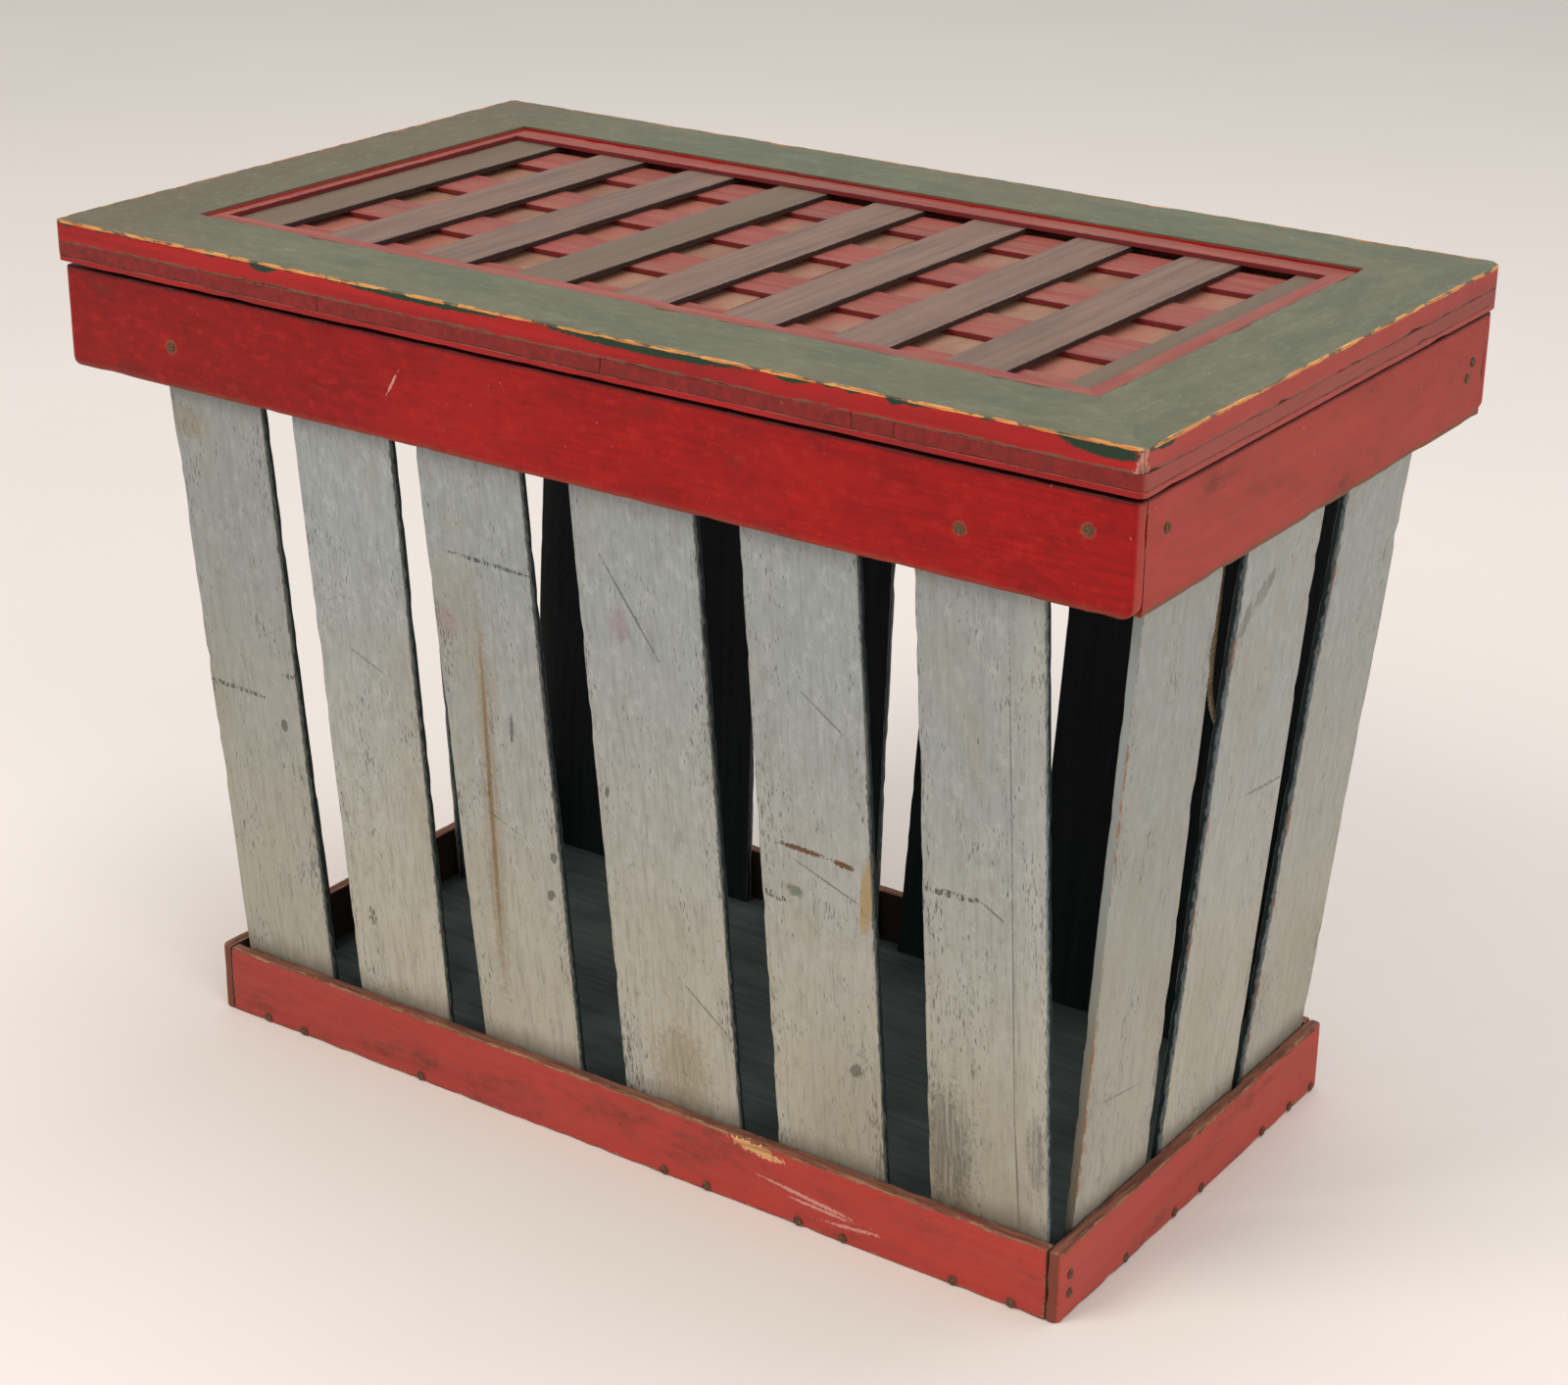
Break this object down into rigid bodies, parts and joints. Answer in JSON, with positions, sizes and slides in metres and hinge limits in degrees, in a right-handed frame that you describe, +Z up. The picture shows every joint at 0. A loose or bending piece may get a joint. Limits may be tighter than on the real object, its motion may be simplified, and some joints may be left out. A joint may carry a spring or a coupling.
{
  "type": "poultry transport crate",
  "caption": "Slatted wooden crate for carrying live poultry, with leaning slat sides, an apron band, a shallow base tray and a hinged lid with a lattice panel.",
  "frame": {"origin": "middle of the base's underside", "axes": "+Z up, +X along the long side to the right end, front towards -Y"},
  "size_m": [0.61, 0.3615, 0.443],
  "materials": {
    "red_paint": "worn satin paint",
    "bright_red_paint": "satin paint",
    "grey_paint": "worn matt paint",
    "green_paint": "worn satin paint",
    "dusty_red_paint": "dusty matt paint",
    "brown_paint": "dusty matt paint",
    "bare_boards": "worn matt paint over bare boards",
    "dark_inside": "matt, dark with use",
    "old_iron": "dull, rusty",
    "old_nails": "dull, rusty",
    "twine": "twisted cotton twine"
  },
  "bodies": {
    "crate": {"floor_board": "dark_inside", "base_front": "red_paint", "base_back": "red_paint", "base_left": "red_paint", "base_right": "red_paint", "base_nails": "old_nails", "front_slat_1": "grey_paint", "front_slat_2": "grey_paint", "front_slat_3": "grey_paint", "front_slat_4": "grey_paint", "front_slat_5": "grey_paint", "front_slat_6": "grey_paint", "back_slat_1": "grey_paint", "back_slat_2": "grey_paint", "back_slat_3": "grey_paint", "back_slat_4": "grey_paint", "back_slat_5": "grey_paint", "back_slat_6": "grey_paint", "left_slat_1": "grey_paint", "left_slat_2": "grey_paint", "left_slat_3": "grey_paint", "right_slat_1": "grey_paint", "right_slat_2": "grey_paint", "right_slat_3": "grey_paint", "long_rails": "dark_inside", "end_rails": "dark_inside", "apron_front": "red_paint", "apron_back": "red_paint", "apron_left": "red_paint", "apron_right": "red_paint", "apron_nails": "old_nails", "crate_hinge_leaves": "old_iron", "hinge_pins": "old_iron", "crate_stay_eye": "old_iron", "stay_cord": "twine"},
    "lid": {"lid_sheet": "bright_red_paint", "lid_boards": "bare_boards", "lid_frame_front": "green_paint", "lid_frame_back": "green_paint", "lid_frame_left": "green_paint", "lid_frame_right": "green_paint", "row_lath_1": "dusty_red_paint", "row_lath_2": "dusty_red_paint", "row_lath_3": "dusty_red_paint", "row_lath_4": "dusty_red_paint", "slat_lath_1": "brown_paint", "slat_lath_2": "brown_paint", "slat_lath_3": "brown_paint", "slat_lath_4": "brown_paint", "slat_lath_5": "brown_paint", "slat_lath_6": "brown_paint", "slat_lath_7": "brown_paint", "slat_lath_8": "brown_paint", "slat_lath_9": "brown_paint", "moulding_front": "dusty_red_paint", "moulding_back": "dusty_red_paint", "moulding_left": "dusty_red_paint", "moulding_right": "dusty_red_paint", "lid_hinge_leaves": "old_iron", "lid_stay_eye": "old_iron"}
  },
  "joints": [
    {"name": "lid_hinge", "type": "hinge", "parent": "crate", "child": "lid", "pos_m": [0, 0.1809, 0.421], "axis": [-1, 0, 0], "range_deg": [0, 96], "deforming": ["stay_cord"]}
  ]
}
